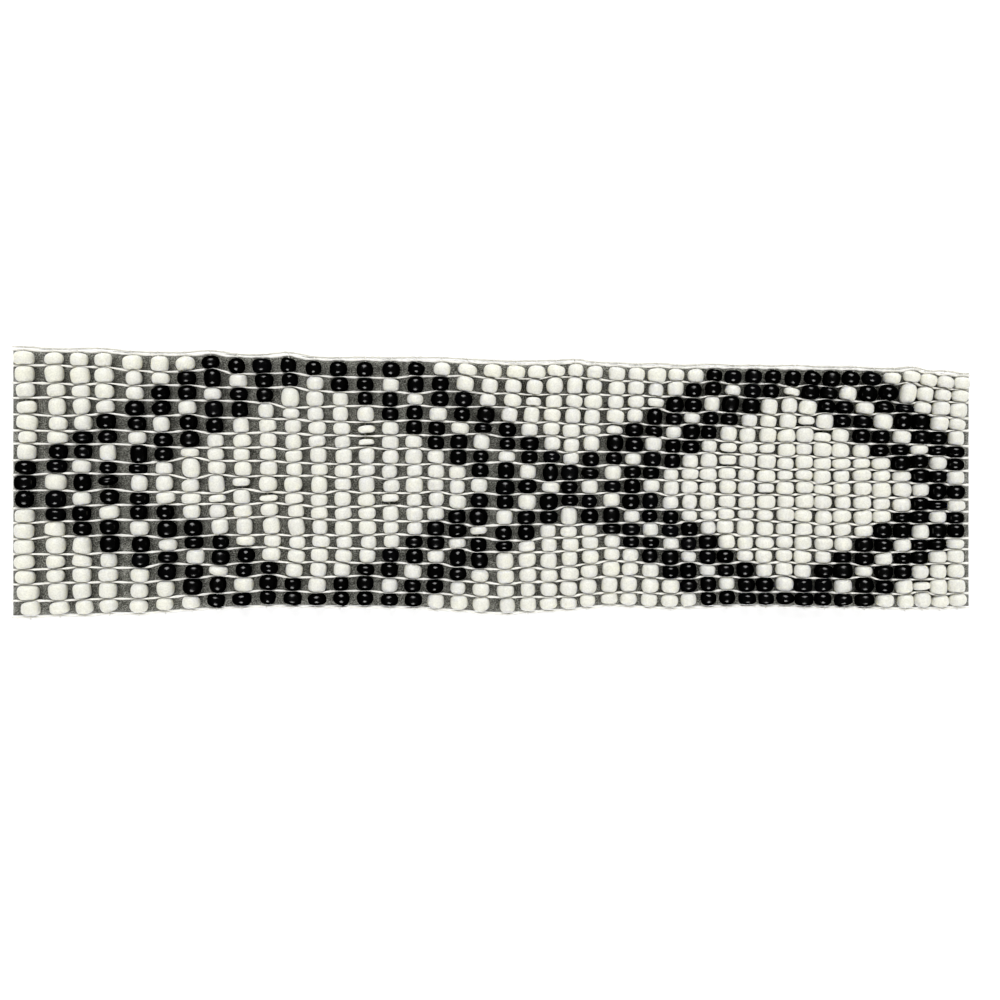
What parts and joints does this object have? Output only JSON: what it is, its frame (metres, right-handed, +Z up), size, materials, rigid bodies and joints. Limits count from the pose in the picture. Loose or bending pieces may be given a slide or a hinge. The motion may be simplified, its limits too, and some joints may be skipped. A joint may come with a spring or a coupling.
{
  "type": "beaded belt",
  "caption": "Loom-woven beaded belt strip: strings of black and white seed beads in a stepped diamond and cross pattern, on a thin lining, lying flat.",
  "frame": {"origin": "under the middle of the belt, on the surface it lies on", "axes": "+X along the belt, +Y across it, +Z up, out of the beaded face"},
  "size_m": [0.1252, 0.0348, 0.0038],
  "materials": {
    "beads_white": "opaque ivory white glass, softly glossy",
    "beads_black": "opaque black glass, glossy",
    "thread": "white twisted thread",
    "lining": "grey felt, matt"
  },
  "bodies": {
    "root": {"lining": "lining", "bead_string_01": "beads_white", "bead_string_02": "beads_white", "bead_string_03": "beads_white", "bead_string_04": "beads_white", "bead_string_05": "beads_white", "bead_string_06": "beads_white", "bead_string_07": "beads_white", "bead_string_08": "beads_white", "bead_string_09": "beads_white", "bead_string_10": "beads_white", "bead_string_11": "beads_white", "bead_string_12": "beads_white", "bead_string_13": "beads_white", "bead_string_14": "beads_white", "bead_string_15": "beads_white", "bead_string_16": "beads_white", "bead_string_17": "beads_white", "bead_string_18": "beads_white", "bead_string_19": "beads_white", "bead_string_20": "beads_white", "bead_string_21": "beads_white", "bead_string_22": "beads_white", "bead_string_23": "beads_white", "bead_string_24": "beads_white", "bead_string_25": "beads_white", "bead_string_26": "beads_white", "bead_string_27": "beads_white", "bead_string_28": "beads_white", "bead_string_29": "beads_white", "bead_string_30": "beads_white", "bead_string_31": "beads_white", "bead_string_32": "beads_white", "bead_string_33": "beads_white", "bead_string_34": "beads_white", "bead_string_35": "beads_white", "bead_string_36": "beads_white", "bead_string_37": "beads_white", "bead_string_38": "beads_white", "bead_string_39": "beads_white", "bead_string_40": "beads_white", "bead_string_41": "beads_white", "bead_string_42": "beads_white", "bead_string_43": "beads_white"}
  },
  "joints": []
}
